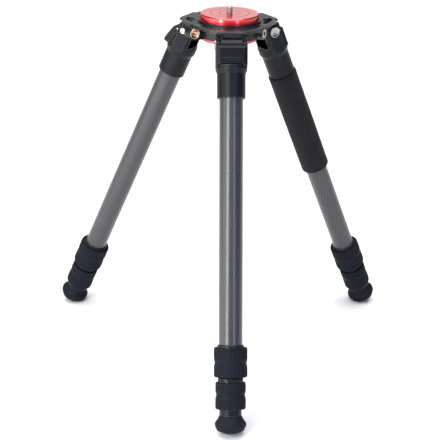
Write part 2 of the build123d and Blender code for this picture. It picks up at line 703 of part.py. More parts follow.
def leg_pieces():
    """Every piece that all three legs have, in the leg's frame."""
    thread1 = tube_r + ferrule_thread
    thread2 = middle_r + ferrule_thread
    tube2_start = tube1_start + middle_inset
    tube3_start = tube2_start + middle_inset
    thread1_end = lock1_top + ferrule_lip + thread1_length
    thread2_end = lock2_top + ferrule2_neck + thread2_length
    return {
        "crown": crown_shape(),
        "pivot_axle": pivot_axle(),
        "pivot_screws": pivot_screw() + pivot_end(),
        "pivot_washers": pivot_washers(),
        "angle_tab": tab_shape(),
        "tab_pins": tab_pins(),
        "upper_tube": tube(tube_r, tube1_start, tube1_end),
        "first_ferrule": ferrule(tube_r, ferrule_lip_r, lock1_top, ferrule_lip, thread1, thread1_length),
        "first_lock": lock_collar(collar1_r, collar1_top, collar1_length, collar1_waist, thread1, middle_r,
                                  thread1_end + 1),
        "first_collet": collet(middle_r, collar1_end - collet_end[0] - collet_length, collar1_end - collet_end[1]),
        "middle_tube": tube(middle_r, tube2_start, tube2_end),
        "second_ferrule": second_ferrule(),
        "second_lock": lock_collar(collar2_r, collar2_top, collar2_length, collar2_waist, thread2, lower_r,
                                   thread2_end + 1),
        "second_collet": collet(lower_r, collar2_end - collet_end[0] - collet_length, collar2_end - collet_end[1]),
        "lower_tube": tube(lower_r, tube3_start, neck_top),
        "foot_plug": foot_plug(),
        "foot": foot_shape(),
    }


def write(name, shape):
    solids = shape.solids()
    export_step(solids[0] if len(solids) == 1 else Compound(list(solids)), f"parts/{name}.step")
    print(name, len(solids), "solids")


def main():
    os.makedirs("parts", exist_ok=True)
    write("platform", make_platform())
    write("platform_screw", make_platform_screw())
    write("screw_clip", make_screw_clip())
    write("spider", make_spider())
    write("clamp_screw", make_clamp_screw())
    write("port_bush", make_port_bush())
    pieces = leg_pieces()
    for leg, azimuth in leg_azimuths.items():
        for name, piece in pieces.items():
            shape = open_tab(piece) if name == "angle_tab" and leg in open_tabs else piece
            write(f"{leg}_{name}", on_leg(shape, azimuth))
    write("foam_grip", on_leg(grip_shape(), leg_azimuths[grip_leg]))


main()
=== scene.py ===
import json
import math
import bpy
from mathutils import Matrix, Vector


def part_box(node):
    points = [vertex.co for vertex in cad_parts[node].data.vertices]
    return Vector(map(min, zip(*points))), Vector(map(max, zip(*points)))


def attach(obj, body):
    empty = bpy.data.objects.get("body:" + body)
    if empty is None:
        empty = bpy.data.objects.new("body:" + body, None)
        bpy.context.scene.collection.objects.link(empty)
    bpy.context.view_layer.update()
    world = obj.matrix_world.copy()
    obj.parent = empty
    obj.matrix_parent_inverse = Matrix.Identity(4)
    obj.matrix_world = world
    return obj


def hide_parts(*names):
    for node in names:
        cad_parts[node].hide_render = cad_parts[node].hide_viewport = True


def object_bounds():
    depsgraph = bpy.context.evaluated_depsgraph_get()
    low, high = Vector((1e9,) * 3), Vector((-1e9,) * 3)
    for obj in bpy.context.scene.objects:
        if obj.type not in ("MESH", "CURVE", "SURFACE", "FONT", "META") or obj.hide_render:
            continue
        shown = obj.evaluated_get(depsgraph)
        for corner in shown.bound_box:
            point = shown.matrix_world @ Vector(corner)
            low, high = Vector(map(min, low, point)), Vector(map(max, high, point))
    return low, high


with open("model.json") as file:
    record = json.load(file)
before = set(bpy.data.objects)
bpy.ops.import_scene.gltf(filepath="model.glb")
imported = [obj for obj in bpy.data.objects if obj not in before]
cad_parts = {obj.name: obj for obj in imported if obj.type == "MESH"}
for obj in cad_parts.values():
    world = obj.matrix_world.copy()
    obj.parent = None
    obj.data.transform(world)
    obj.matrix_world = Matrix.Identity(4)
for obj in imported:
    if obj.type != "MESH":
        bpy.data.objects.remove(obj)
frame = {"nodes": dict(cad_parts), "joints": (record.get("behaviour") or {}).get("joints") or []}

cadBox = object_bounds()
nodes = frame["nodes"]
legs = ("front", "right", "left")
mm = 0.001


# places read from the frame

def joint(name):
    return next(j for j in frame["joints"] if j["name"] == name)


def turned(origin, up, out):
    # a place whose Z is up and whose X is out
    side = up.cross(out)
    place = Matrix((out, side, up)).transposed().to_4x4()
    place.translation = origin
    return place


def legPlace(leg):
    # X outward from the leg, Y across it, Z up along it, from the leg's pivot
    swing = joint(leg + "_leg_swing")
    up = -Vector(joint(leg + "_middle_slide")["axis"])
    across = -Vector(swing["axis"])
    return turned(Vector(swing["pos_m"]), up, across.cross(up))


def screwPlace(name, node):
    # Z out of the screw's head, from the middle of its node
    hinge = joint(name)
    up = Vector(hinge["axis"])
    middle = sum(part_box(node), Vector()) / 2
    origin = Vector(hinge["pos_m"])
    if (middle - origin).dot(up) < 0:
        up = -up
    out = Vector((0, 0, 1)) if abs(up.z) < 0.9 else Vector((1, 0, 0))
    out = (out - up * out.dot(up)).normalized()
    return turned(origin, up, out)


def inPlace(node, place):
    # a node's points in that place's own directions
    back = place.inverted()
    return [back @ v.co for v in nodes[node].data.vertices]


def heightSpan(points):
    heights = [p.z for p in points]
    return min(heights), max(heights)


def radiusAt(points, height, pick, slack=0.05 * mm):
    return pick(math.hypot(p.x, p.y) for p in points if abs(p.z - height) < slack)


places = {leg: legPlace(leg) for leg in legs}
print("frame read:", len(nodes), "nodes")


# modelling steps

def clearPick():
    bpy.ops.object.select_all(action="DESELECT")


def editAll(piece):
    clearPick()
    bpy.context.view_layer.objects.active = piece
    piece.select_set(True)
    bpy.ops.object.mode_set(mode="EDIT")
    bpy.ops.mesh.select_mode(type="VERT")
    bpy.ops.mesh.select_all(action="SELECT")


def pickPoints(piece, test):
    # in edit mode: leaves only the points that pass the test picked
    bpy.ops.mesh.select_mode(type="VERT")
    bpy.ops.mesh.select_all(action="DESELECT")
    bpy.ops.object.mode_set(mode="OBJECT")
    for point in piece.data.vertices:
        point.select = test(point.co)
    bpy.ops.object.mode_set(mode="EDIT")


def scaleRound(share, height):
    bpy.ops.transform.resize(value=(share, share, 1), center_override=(0, 0, height))


def lathe(name, rings, segments=96, close=False, capFirst=False, capLast=False):
    # rings are (radius, height); each new ring is pulled out of the last one and scaled
    clearPick()
    radius, height = rings[0]
    bpy.ops.mesh.primitive_circle_add(vertices=segments, radius=radius, location=(0, 0, height),
                                      fill_type="NGON" if capFirst else "NOTHING")
    piece = bpy.context.active_object
    piece.name = name
    bpy.ops.object.transform_apply(location=True, rotation=True, scale=True)
    editAll(piece)
    for nextRadius, nextHeight in rings[1:]:
        bpy.ops.mesh.extrude_region_move(TRANSFORM_OT_translate={"value": (0, 0, nextHeight - height)})
        scaleRound(nextRadius / radius, nextHeight)
        radius, height = nextRadius, nextHeight
    if capLast:
        bpy.ops.mesh.edge_face_add()
    if close:
        bpy.ops.mesh.select_all(action="SELECT")
        bpy.ops.mesh.remove_doubles(threshold=0.001 * mm)
    outward()
    bpy.ops.object.mode_set(mode="OBJECT")
    return piece


def outward():
    bpy.ops.mesh.select_all(action="SELECT")
    bpy.ops.mesh.normals_make_consistent(inside=False)


def modify(piece, kind, **settings):
    clearPick()
    bpy.context.view_layer.objects.active = piece
    piece.select_set(True)
    modifier = piece.modifiers.new(kind.title(), kind)
    for key, value in settings.items():
        setattr(modifier, key, value)
    bpy.ops.object.modifier_apply(modifier=modifier.name)


def smooth(piece, degrees=35):
    clearPick()
    bpy.context.view_layer.objects.active = piece
    piece.select_set(True)
    bpy.ops.object.shade_smooth_by_angle(angle=math.radians(degrees))


def settle(piece, place):
    # takes a piece drawn at the origin to its place, and applies the place to its mesh
    piece.matrix_world = place
    clearPick()
    bpy.context.view_layer.objects.active = piece
    piece.select_set(True)
    bpy.ops.object.transform_apply(location=True, rotation=True, scale=True)
    return piece


def copyOf(piece, name):
    twin = piece.copy()
    twin.data = piece.data.copy()
    twin.name = name
    bpy.context.scene.collection.objects.link(twin)
    return twin


def joined(pieces):
    clearPick()
    for piece in pieces:
        piece.select_set(True)
    bpy.context.view_layer.objects.active = pieces[0]
    bpy.ops.object.join()
    return pieces[0]


def forEachLeg(model, pieceName, nodeName, body, material):
    # one copy of a model on each leg, standing for that leg's node
    made = []
    for leg in legs:
        piece = settle(copyOf(model, leg + pieceName), places[leg])
        piece.data.materials.append(material(leg) if callable(material) else material)
        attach(piece, leg + body)
        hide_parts(leg + nodeName)
        made.append(piece)
    bpy.data.objects.remove(model)
    print("made", pieceName, "on", len(made), "legs")
    return made


# shader node groups that the finishes share

def newGroup(name, inputs, outputs):
    group = bpy.data.node_groups.new(name, "ShaderNodeTree")
    for title, kind, value in inputs:
        socket = group.interface.new_socket(name=title, in_out="INPUT", socket_type=kind)
        if value is not None:
            socket.default_value = value
    for title, kind in outputs:
        group.interface.new_socket(name=title, in_out="OUTPUT", socket_type=kind)
    return group, group.nodes.new("NodeGroupInput").outputs, group.nodes.new("NodeGroupOutput").inputs


def fill(tree, socket, value):
    if isinstance(value, bpy.types.NodeSocket):
        tree.links.new(value, socket)
    else:
        socket.default_value = value


def calc(tree, operation, *values, clamp=False):
    node = tree.nodes.new("ShaderNodeMath")
    node.operation = operation
    node.use_clamp = clamp
    for socket, value in zip(node.inputs, values):
        fill(tree, socket, value)
    return node.outputs[0]


def remap(tree, value, low, high, newLow=0.0, newHigh=1.0):
    node = tree.nodes.new("ShaderNodeMapRange")
    for socket, number in zip(node.inputs, (value, low, high, newLow, newHigh)):
        fill(tree, socket, number)
    return node.outputs[0]


def noise(tree, vector, scale, detail=3.0, roughness=0.5):
    node = tree.nodes.new("ShaderNodeTexNoise")
    fill(tree, node.inputs["Vector"], vector)
    fill(tree, node.inputs["Scale"], scale)
    fill(tree, node.inputs["Detail"], detail)
    fill(tree, node.inputs["Roughness"], roughness)
    return node.outputs["Fac"]


def mixColour(tree, share, first, second):
    node = tree.nodes.new("ShaderNodeMix")
    node.data_type = "RGBA"
    fill(tree, node.inputs["Factor"], share)
    fill(tree, node.inputs["A"], first)
    fill(tree, node.inputs["B"], second)
    return node.outputs["Result"]


def reachOf(tree, parts):
    # distance from the Z axis, from a node that has the vector's parts
    squares = [calc(tree, "POWER", parts.outputs[axis], 2.0) for axis in ("X", "Y")]
    return calc(tree, "SQRT", calc(tree, "ADD", *squares))


def edgeWearGroup():
    # 1 along outside edges, broken up by noise
    group, given, result = newGroup("edgeWear", [
        ("Vector", "NodeSocketVector", None), ("Reach", "NodeSocketFloat", 0.6 * mm),
        ("Gain", "NodeSocketFloat", 6.0), ("Breakup", "NodeSocketFloat", 400.0)],
        [("Mask", "NodeSocketFloat")])
    bevel = group.nodes.new("ShaderNodeBevel")
    bevel.samples = 6
    fill(group, bevel.inputs["Radius"], given["Reach"])
    surface = group.nodes.new("ShaderNodeNewGeometry")
    likeness = group.nodes.new("ShaderNodeVectorMath")
    likeness.operation = "DOT_PRODUCT"
    fill(group, likeness.inputs[0], bevel.outputs["Normal"])
    fill(group, likeness.inputs[1], surface.outputs["Normal"])
    bent = calc(group, "SUBTRACT", 1.0, likeness.outputs["Value"])
    patchy = remap(group, noise(group, given["Vector"], given["Breakup"], 4.0, 0.6), 0.35, 0.62)
    strong = calc(group, "MULTIPLY", bent, given["Gain"])
    fill(group, result["Mask"], calc(group, "MULTIPLY", strong, patchy, clamp=True))
    return group


def blastGrainGroup():
    # the fine pitting of a blasted and anodised or moulded surface, and a slow change of tone
    group, given, result = newGroup("blastGrain", [
        ("Vector", "NodeSocketVector", None), ("Scale", "NodeSocketFloat", 1800.0)],
        [("Height", "NodeSocketFloat"), ("Tone", "NodeSocketFloat")])
    fine = noise(group, given["Vector"], given["Scale"], 2.0, 0.7)
    coarse = noise(group, given["Vector"], calc(group, "MULTIPLY", given["Scale"], 0.31), 2.0, 0.5)
    fill(group, result["Height"], calc(group, "ADD", fine, calc(group, "MULTIPLY", coarse, 0.5)))
    slow = calc(group, "MULTIPLY", given["Scale"], 0.02)
    fill(group, result["Tone"], noise(group, given["Vector"], slow, 3.0))
    return group


def toolMarksGroup():
    # rings left by a lathe about Z, given the vector in the piece's own directions
    group, given, result = newGroup("toolMarks", [
        ("Vector", "NodeSocketVector", None), ("Pitch", "NodeSocketFloat", 0.35 * mm)],
        [("Height", "NodeSocketFloat")])
    parts = group.nodes.new("ShaderNodeSeparateXYZ")
    fill(group, parts.inputs[0], given["Vector"])
    reach = reachOf(group, parts)
    turns = calc(group, "DIVIDE", calc(group, "ADD", reach, calc(group, "MULTIPLY", parts.outputs["Z"], 0.7)),
                 given["Pitch"])
    wander = noise(group, given["Vector"], 90.0, 1.0)
    wave = calc(group, "SINE", calc(group, "ADD", calc(group, "MULTIPLY", turns, 2 * math.pi),
                                    calc(group, "MULTIPLY", wander, 1.5)))
    fill(group, result["Height"], calc(group, "MULTIPLY_ADD", wave, 0.5, 0.5))
    return group


def twillGroup():
    # 2 by 2 twill laid round a tube on the bias; X and Y across the tube, Z along it.
    # across and along are the tows once round and their lean, whole fours so that the cloth meets itself
    group, given, result = newGroup("twill", [
        ("Vector", "NodeSocketVector", None), ("Girth", "NodeSocketFloat", 113.0 * mm),
        ("Tows A", "NodeSocketFloat", 28.0), ("Tows B", "NodeSocketFloat", 60.0)],
        [("Height", "NodeSocketFloat"), ("Warp", "NodeSocketFloat"), ("Fibre", "NodeSocketFloat")])
    parts = group.nodes.new("ShaderNodeSeparateXYZ")
    fill(group, parts.inputs[0], given["Vector"])
    angle = calc(group, "ARCTAN2", parts.outputs["Y"], parts.outputs["X"])
    round1 = calc(group, "DIVIDE", angle, 2 * math.pi)
    length = calc(group, "DIVIDE", parts.outputs["Z"], given["Girth"])
    warpAt = calc(group, "SUBTRACT", calc(group, "MULTIPLY", round1, given["Tows A"]),
                  calc(group, "MULTIPLY", length, given["Tows B"]))
    weftAt = calc(group, "ADD", calc(group, "MULTIPLY", round1, given["Tows B"]),
                  calc(group, "MULTIPLY", length, given["Tows A"]))
    step = calc(group, "ADD", calc(group, "FLOOR", warpAt), calc(group, "FLOOR", weftAt))
    over = calc(group, "LESS_THAN", calc(group, "FLOORED_MODULO", step, 4.0), 1.5)
    warpArch = calc(group, "SINE", calc(group, "MULTIPLY", calc(group, "FRACT", warpAt), math.pi))
    weftArch = calc(group, "SINE", calc(group, "MULTIPLY", calc(group, "FRACT", weftAt), math.pi))
    arch = group.nodes.new("ShaderNodeMix")
    fill(group, arch.inputs["Factor"], over)
    fill(group, arch.inputs["A"], weftArch)
    fill(group, arch.inputs["B"], warpArch)
    fill(group, result["Height"], calc(group, "POWER", arch.outputs["Result"], 0.5))
    fill(group, result["Warp"], over)
    strand = group.nodes.new("ShaderNodeMix")
    fill(group, strand.inputs["Factor"], over)
    fill(group, strand.inputs["A"], weftAt)
    fill(group, strand.inputs["B"], warpAt)
    fibre = group.nodes.new("ShaderNodeTexNoise")
    fibre.noise_dimensions = "1D"
    fill(group, fibre.inputs["W"], strand.outputs["Result"])
    fill(group, fibre.inputs["Scale"], 9.0)
    fill(group, result["Fibre"], fibre.outputs["Fac"])
    return group


def dustGroup():
    # thin dust, thicker on what faces up
    group, given, result = newGroup("dust", [
        ("Vector", "NodeSocketVector", None), ("Amount", "NodeSocketFloat", 0.08)],
        [("Mask", "NodeSocketFloat")])
    texture = group.nodes.new("ShaderNodeTexCoord")
    parts = group.nodes.new("ShaderNodeSeparateXYZ")
    fill(group, parts.inputs[0], texture.outputs["Normal"])
    upward = remap(group, parts.outputs["Z"], -0.2, 1.0, 0.25, 1.0)
    cloud = remap(group, noise(group, given["Vector"], 60.0, 5.0, 0.65), 0.3, 0.75)
    settled = calc(group, "MULTIPLY", cloud, upward)
    fill(group, result["Mask"], calc(group, "MULTIPLY", settled, given["Amount"]))
    return group


groups = {"wear": edgeWearGroup(), "grain": blastGrainGroup(), "marks": toolMarksGroup(),
          "twill": twillGroup(), "dust": dustGroup()}
print("node groups:", ", ".join(g.name for g in groups.values()))


# materials

def newMaterial(name, place=None):
    # the material, its tree, its shader, and coordinates on the piece, turned to a place if one is given
    material = bpy.data.materials.new(name)
    material.use_nodes = True
    tree = material.node_tree
    shader = tree.nodes["Principled BSDF"]
    at = tree.nodes.new("ShaderNodeTexCoord").outputs["Object"]
    if place:
        turn = tree.nodes.new("ShaderNodeMapping")
        back = place.inverted()
        turn.inputs["Location"].default_value = back.translation
        turn.inputs["Rotation"].default_value = back.to_euler("XYZ")
        fill(tree, turn.inputs["Vector"], at)
        at = turn.outputs["Vector"]
    return material, tree, shader, at


def use(tree, name, **values):
    node = tree.nodes.new("ShaderNodeGroup")
    node.node_tree = groups[name]
    for key, value in values.items():
        fill(tree, node.inputs[key], value)
    return node.outputs


def bumped(tree, shader, height, depth):
    bump = tree.nodes.new("ShaderNodeBump")
    bump.inputs["Distance"].default_value = depth
    fill(tree, bump.inputs["Height"], height)
    fill(tree, shader.inputs["Normal"], bump.outputs["Normal"])


anodised = {"dark": (0.0038, 0.0042, 0.0068, 1), "pale": (0.0072, 0.0077, 0.0112, 1),
            "bare": (0.3, 0.3, 0.32, 1), "metal": 0.25, "rough": 0.36, "roughSwing": 0.08,
            "grainDepth": 0.02 * mm, "edge": 0.5 * mm, "dust": 0.005, "dustColour": (0.35, 0.34, 0.32, 1),
            "shine": 0.22, "topShine": 0.5, "wornMetal": 0.9}


def blackAnodised(name="blackAnodised", shine=anodised["shine"]):
    material, tree, shader, at = newMaterial(name)
    grain = use(tree, "grain", Vector=at)
    wear = use(tree, "wear", Vector=at, Reach=anodised["edge"])["Mask"]
    dust = use(tree, "dust", Vector=at, Amount=anodised["dust"])["Mask"]
    colour = mixColour(tree, grain["Tone"], anodised["dark"], anodised["pale"])
    colour = mixColour(tree, wear, colour, anodised["bare"])
    fill(tree, shader.inputs["Base Color"], mixColour(tree, dust, colour, anodised["dustColour"]))
    metallic = remap(tree, wear, 0.0, 1.0, anodised["metal"], anodised["wornMetal"])
    fill(tree, shader.inputs["Metallic"], metallic)
    rough = anodised["rough"]
    dull = rough + anodised["roughSwing"]
    fill(tree, shader.inputs["Roughness"], remap(tree, grain["Tone"], 0.3, 0.7, rough, dull))
    shader.inputs["Specular IOR Level"].default_value = shine
    bumped(tree, shader, grain["Height"], anodised["grainDepth"])
    return material


# the groove colour is painted shade for the grooves in the face
redFinish = {"deep": (0.62, 0.006, 0.012, 1), "bright": (0.78, 0.012, 0.02, 1), "bare": (0.8, 0.42, 0.4, 1),
             "metal": 0.75, "rough": 0.28, "pitch": 0.4 * mm, "depth": 0.01 * mm, "coat": 0.7,
             "coatRough": 0.12, "coatIor": 1.8, "roughSwing": 0.06, "edge": 0.4 * mm, "edgeGain": 4.0,
             "groove": (0.1, 0.002, 0.004, 1), "grooveTop": 0.08 * mm, "grooveEnd": 1 * mm,
             "faceReach": 40 * mm}


def redAnodised():
    material, tree, shader, at = newMaterial("redAnodised")
    grain = use(tree, "grain", Vector=at, Scale=2600.0)
    marks = use(tree, "marks", Vector=at, Pitch=redFinish["pitch"])["Height"]
    wear = use(tree, "wear", Vector=at, Reach=redFinish["edge"], Gain=redFinish["edgeGain"])["Mask"]
    colour = mixColour(tree, grain["Tone"], redFinish["deep"], redFinish["bright"])
    # the grooves sunk in the face are painted a much darker red: painted shade in the recesses
    parts = tree.nodes.new("ShaderNodeSeparateXYZ")
    fill(tree, parts.inputs[0], at)
    reach = reachOf(tree, parts)
    low = calc(tree, "LESS_THAN", parts.outputs["Z"], -redFinish["grooveTop"])
    high = calc(tree, "GREATER_THAN", parts.outputs["Z"], -redFinish["grooveEnd"])
    shadedGroove = calc(tree, "MULTIPLY", calc(tree, "MULTIPLY", low, high),
                calc(tree, "LESS_THAN", reach, redFinish["faceReach"]))
    # painted shade: the grooves take the dark red
    colour = mixColour(tree, shadedGroove, colour, redFinish["groove"])
    fill(tree, shader.inputs["Base Color"], mixColour(tree, wear, colour, redFinish["bare"]))
    shader.inputs["Metallic"].default_value = redFinish["metal"]
    rough = redFinish["rough"]
    dull = rough + redFinish["roughSwing"]
    fill(tree, shader.inputs["Roughness"], remap(tree, grain["Tone"], 0.3, 0.7, rough, dull))
    fill(tree, shader.inputs["Coat Weight"], remap(tree, shadedGroove, 0.0, 1.0, redFinish["coat"], 0.0))
    shader.inputs["Coat Roughness"].default_value = redFinish["coatRough"]
    shader.inputs["Coat IOR"].default_value = redFinish["coatIor"]
    height = calc(tree, "ADD", marks, calc(tree, "MULTIPLY", grain["Height"], 0.5))
    bumped(tree, shader, height, redFinish["depth"])
    return material


# warp lighter and weft darker is painted sheen, standing in for the tows' different reflection
carbonFinish = {"warp": (0.04, 0.04, 0.045, 1), "weft": (0.02, 0.02, 0.024, 1),
                "gap": (0.01, 0.01, 0.012, 1), "rough": 0.36, "depth": 0.03 * mm,
                "coat": 0.4, "coatRough": 0.16, "towsA": 28, "towsB": 60}


def carbon(leg):
    points = inPlace(leg + "_upper_tube", places[leg])
    girth = 2 * math.pi * radiusAt(points, heightSpan(points)[0], max)
    material, tree, shader, at = newMaterial(leg + "CarbonTwill", places[leg])
    twill = use(tree, "twill", Vector=at, Girth=girth, **{"Tows A": carbonFinish["towsA"],
                                                          "Tows B": carbonFinish["towsB"]})
    grain = use(tree, "grain", Vector=at, Scale=900.0)
    # painted sheen: warp tows lighter than weft tows
    colour = mixColour(tree, twill["Warp"], carbonFinish["weft"], carbonFinish["warp"])
    colour = mixColour(tree, remap(tree, twill["Height"], 0.0, 0.45, 0.8, 0.0), colour, carbonFinish["gap"])
    fill(tree, shader.inputs["Base Color"],
         mixColour(tree, remap(tree, twill["Fibre"], 0.35, 0.65, 0.0, 0.35), colour, carbonFinish["gap"]))
    rough = carbonFinish["rough"]
    fill(tree, shader.inputs["Roughness"], remap(tree, grain["Tone"], 0.3, 0.7, rough - 0.03, rough + 0.05))
    shader.inputs["Coat Weight"].default_value = carbonFinish["coat"]
    shader.inputs["Coat Roughness"].default_value = carbonFinish["coatRough"]
    bumped(tree, shader, twill["Height"], carbonFinish["depth"])
    return material


def metal(name, colour, rough, place=None, pitch=0.3 * mm, depth=0.008 * mm):
    # a bright turned or polished metal
    material, tree, shader, at = newMaterial(name, place)
    marks = use(tree, "marks", Vector=at, Pitch=pitch)["Height"]
    grain = use(tree, "grain", Vector=at, Scale=2400.0)
    dark = tuple(0.72 * c for c in colour[:3]) + (1,)
    fill(tree, shader.inputs["Base Color"], mixColour(tree, grain["Tone"], dark, colour))
    shader.inputs["Metallic"].default_value = 1.0
    fill(tree, shader.inputs["Roughness"], remap(tree, grain["Tone"], 0.3, 0.7, rough, rough + 0.1))
    bumped(tree, shader, calc(tree, "ADD", marks, calc(tree, "MULTIPLY", grain["Height"], 0.3)), depth)
    return material


mouldings = {
    "blackPlastic": {"dark": (0.012, 0.012, 0.014, 1), "pale": (0.02, 0.02, 0.022, 1), "rough": 0.45,
                     "scale": 1500.0, "depth": 0.02 * mm, "dust": 0.005},
    "lockRubber": {"dark": (0.005, 0.0065, 0.011, 1), "pale": (0.008, 0.0098, 0.015, 1), "rough": 0.5,
                   "scale": 1300.0, "depth": 0.03 * mm, "dust": 0.005},
    "footRubber": {"dark": (0.006, 0.007, 0.011, 1), "pale": (0.0095, 0.011, 0.0165, 1), "rough": 0.6,
                   "scale": 900.0, "depth": 0.04 * mm, "dust": 0.02},
}
mouldedShine = 0.08
mouldedDust = (0.3, 0.29, 0.28, 1)


def moulded(name):
    # rubber or plastic out of a mould, finely pitted
    look = mouldings[name]
    material, tree, shader, at = newMaterial(name)
    grain = use(tree, "grain", Vector=at, Scale=look["scale"])
    mask = use(tree, "dust", Vector=at, Amount=look["dust"])["Mask"]
    colour = mixColour(tree, grain["Tone"], look["dark"], look["pale"])
    fill(tree, shader.inputs["Base Color"], mixColour(tree, mask, colour, mouldedDust))
    rough = look["rough"]
    fill(tree, shader.inputs["Roughness"], remap(tree, grain["Tone"], 0.3, 0.7, rough, rough + 0.1))
    shader.inputs["Specular IOR Level"].default_value = mouldedShine
    bumped(tree, shader, grain["Height"], look["depth"])
    return material


foamFinish = {"dark": (0.008, 0.0085, 0.01, 1), "pale": (0.017, 0.017, 0.019, 1), "pores": 620.0,
              "poreDepth": 0.12 * mm, "rough": 0.82, "sheen": 0.04, "shine": 0.1,
              "dust": 0.03, "dustColour": (0.25, 0.24, 0.23, 1)}


def foam():
    material, tree, shader, at = newMaterial("eva_foam")
    cells = tree.nodes.new("ShaderNodeTexVoronoi")
    fill(tree, cells.inputs["Vector"], at)
    cells.inputs["Scale"].default_value = foamFinish["pores"]
    pore = remap(tree, cells.outputs["Distance"], 0.0, 0.55)
    grain = use(tree, "grain", Vector=at, Scale=1500.0)
    dust = use(tree, "dust", Vector=at, Amount=foamFinish["dust"])["Mask"]
    # darker in the pits of the pores: painted shade, mixed with a random tone
    share = calc(tree, "MULTIPLY", pore, grain["Tone"])
    colour = mixColour(tree, share, foamFinish["dark"], foamFinish["pale"])
    fill(tree, shader.inputs["Base Color"], mixColour(tree, dust, colour, foamFinish["dustColour"]))
    rough = foamFinish["rough"]
    fill(tree, shader.inputs["Roughness"], remap(tree, pore, 0.0, 1.0, rough + 0.1, rough))
    shader.inputs["Sheen Weight"].default_value = foamFinish["sheen"]
    shader.inputs["Specular IOR Level"].default_value = foamFinish["shine"]
    bumped(tree, shader, calc(tree, "ADD", pore, calc(tree, "MULTIPLY", grain["Height"], 0.3)),
           foamFinish["poreDepth"])
    return material


black = blackAnodised()
red = redAnodised()
carbonOn = {leg: carbon(leg) for leg in legs}
plastic = moulded("blackPlastic")
lockRubber = moulded("lockRubber")
footRubber = moulded("footRubber")
print("materials made:", len(bpy.data.materials))


# CAD nodes that stay, with their finish

def finish(node, material):
    for holder in nodes[node].material_slots:
        holder.material = material


steel = metal("turnedSteel", (0.62, 0.61, 0.58, 1), 0.22)
finish("platform", red)
finish("screw_clip", steel)
finish("spider", blackAnodised("spiderBlack", anodised["topShine"]))
finish("port_bush", metal("portSteel", (0.6, 0.59, 0.56, 1), 0.3))
for leg in legs:
    for part in ("_crown", "_first_ferrule", "_second_ferrule", "_foot_plug", "_angle_tab"):
        finish(leg + part, black)
    for part in ("_upper_tube", "_middle_tube", "_lower_tube"):
        finish(leg + part, carbonOn[leg])
    for part in ("_pivot_axle", "_tab_pins"):
        finish(leg + part, steel)
    for part in ("_pivot_washers", "_first_collet", "_second_collet"):
        finish(leg + part, plastic)
print("CAD nodes finished")


# twist lock sleeves: two ribbed grip bands parted by a waist

sleeve = {"ribs": 38, "ribDepth": 0.75 * mm, "lip": 3.2 * mm, "waist": (0.523, 0.47),
          "waistDepth": 1.25 * mm, "waistHalf": 3.6 * mm, "waistFlat": 0.9 * mm,
          "shoulder": (1.9 * mm, 0.75 * mm, 0.25 * mm), "edge": 0.35 * mm, "bandGap": 0.6 * mm,
          "mouth": (3 * mm, 8 * mm), "bevel": 0.22 * mm, "bevelAngle": math.radians(28)}


def lockSleeve(name, node, waistShare):
    points = inPlace("front_" + node, places["front"])
    low, high = heightSpan(points)
    outer = max(math.hypot(p.x, p.y) for p in points)
    boreTop = radiusAt(points, high, min)
    boreLow = radiusAt(points, low, min)
    drop1, drop2, drop3 = sleeve["shoulder"]
    middle = high + (low - high) * waistShare
    half, depth, lip, flat = (sleeve[key] for key in ("waistHalf", "waistDepth", "lip", "waistFlat"))
    edge, gap, mouth = sleeve["edge"], sleeve["bandGap"], sleeve["mouth"]

    def band(top, end):
        # heights and radii down one band, from shoulder to shoulder
        return [(outer - drop3, top - 0.3 * lip), (outer - 0.1 * mm, top - 0.75 * lip), (outer, top - lip),
                (outer, (top + end) / 2), (outer, end + lip), (outer - 0.1 * mm, end + 0.75 * lip),
                (outer - drop3, end + 0.3 * lip)]

    rings = [(boreTop, high), (outer - drop1, high), (outer - drop2, high - edge)]
    rings += band(high - gap, middle + half - 0.4 * mm)
    rings += [(outer - depth, middle + flat), (outer - depth, middle - flat)]
    rings += band(middle - half + 0.4 * mm, low + gap)
    rings += [(outer - drop2, low + edge), (outer - drop1, low), (boreLow, low),
              (boreLow, low + mouth[0]), (boreTop, low + mouth[1]), (boreTop, high)]
    piece = lathe(name, rings, 4 * sleeve["ribs"], close=True)
    editAll(piece)
    step = 2 * math.pi / (4 * sleeve["ribs"])

    def inGroove(co):
        turn = round(math.atan2(co.y, co.x) / step) % 4
        radius = math.hypot(co.x, co.y)
        return turn < 2 and radius > outer - 0.05 * mm

    pickPoints(piece, inGroove)
    scaleRound(1 - sleeve["ribDepth"] / outer, 0)
    outward()
    bpy.ops.object.mode_set(mode="OBJECT")
    modify(piece, "BEVEL", width=sleeve["bevel"], segments=2, limit_method="ANGLE",
           angle_limit=sleeve["bevelAngle"])
    smooth(piece, 50)
    return piece


forEachLeg(lockSleeve("sleeve1", "first_lock", sleeve["waist"][0]), "FirstLockSleeve", "_first_lock",
           "_first_lock", lockRubber)
forEachLeg(lockSleeve("sleeve2", "second_lock", sleeve["waist"][1]), "SecondLockSleeve", "_second_lock",
           "_second_lock", lockRubber)


# rubber feet

foot = {"segments": 96, "flare": 6, "dome": 6, "heel": 0.84}


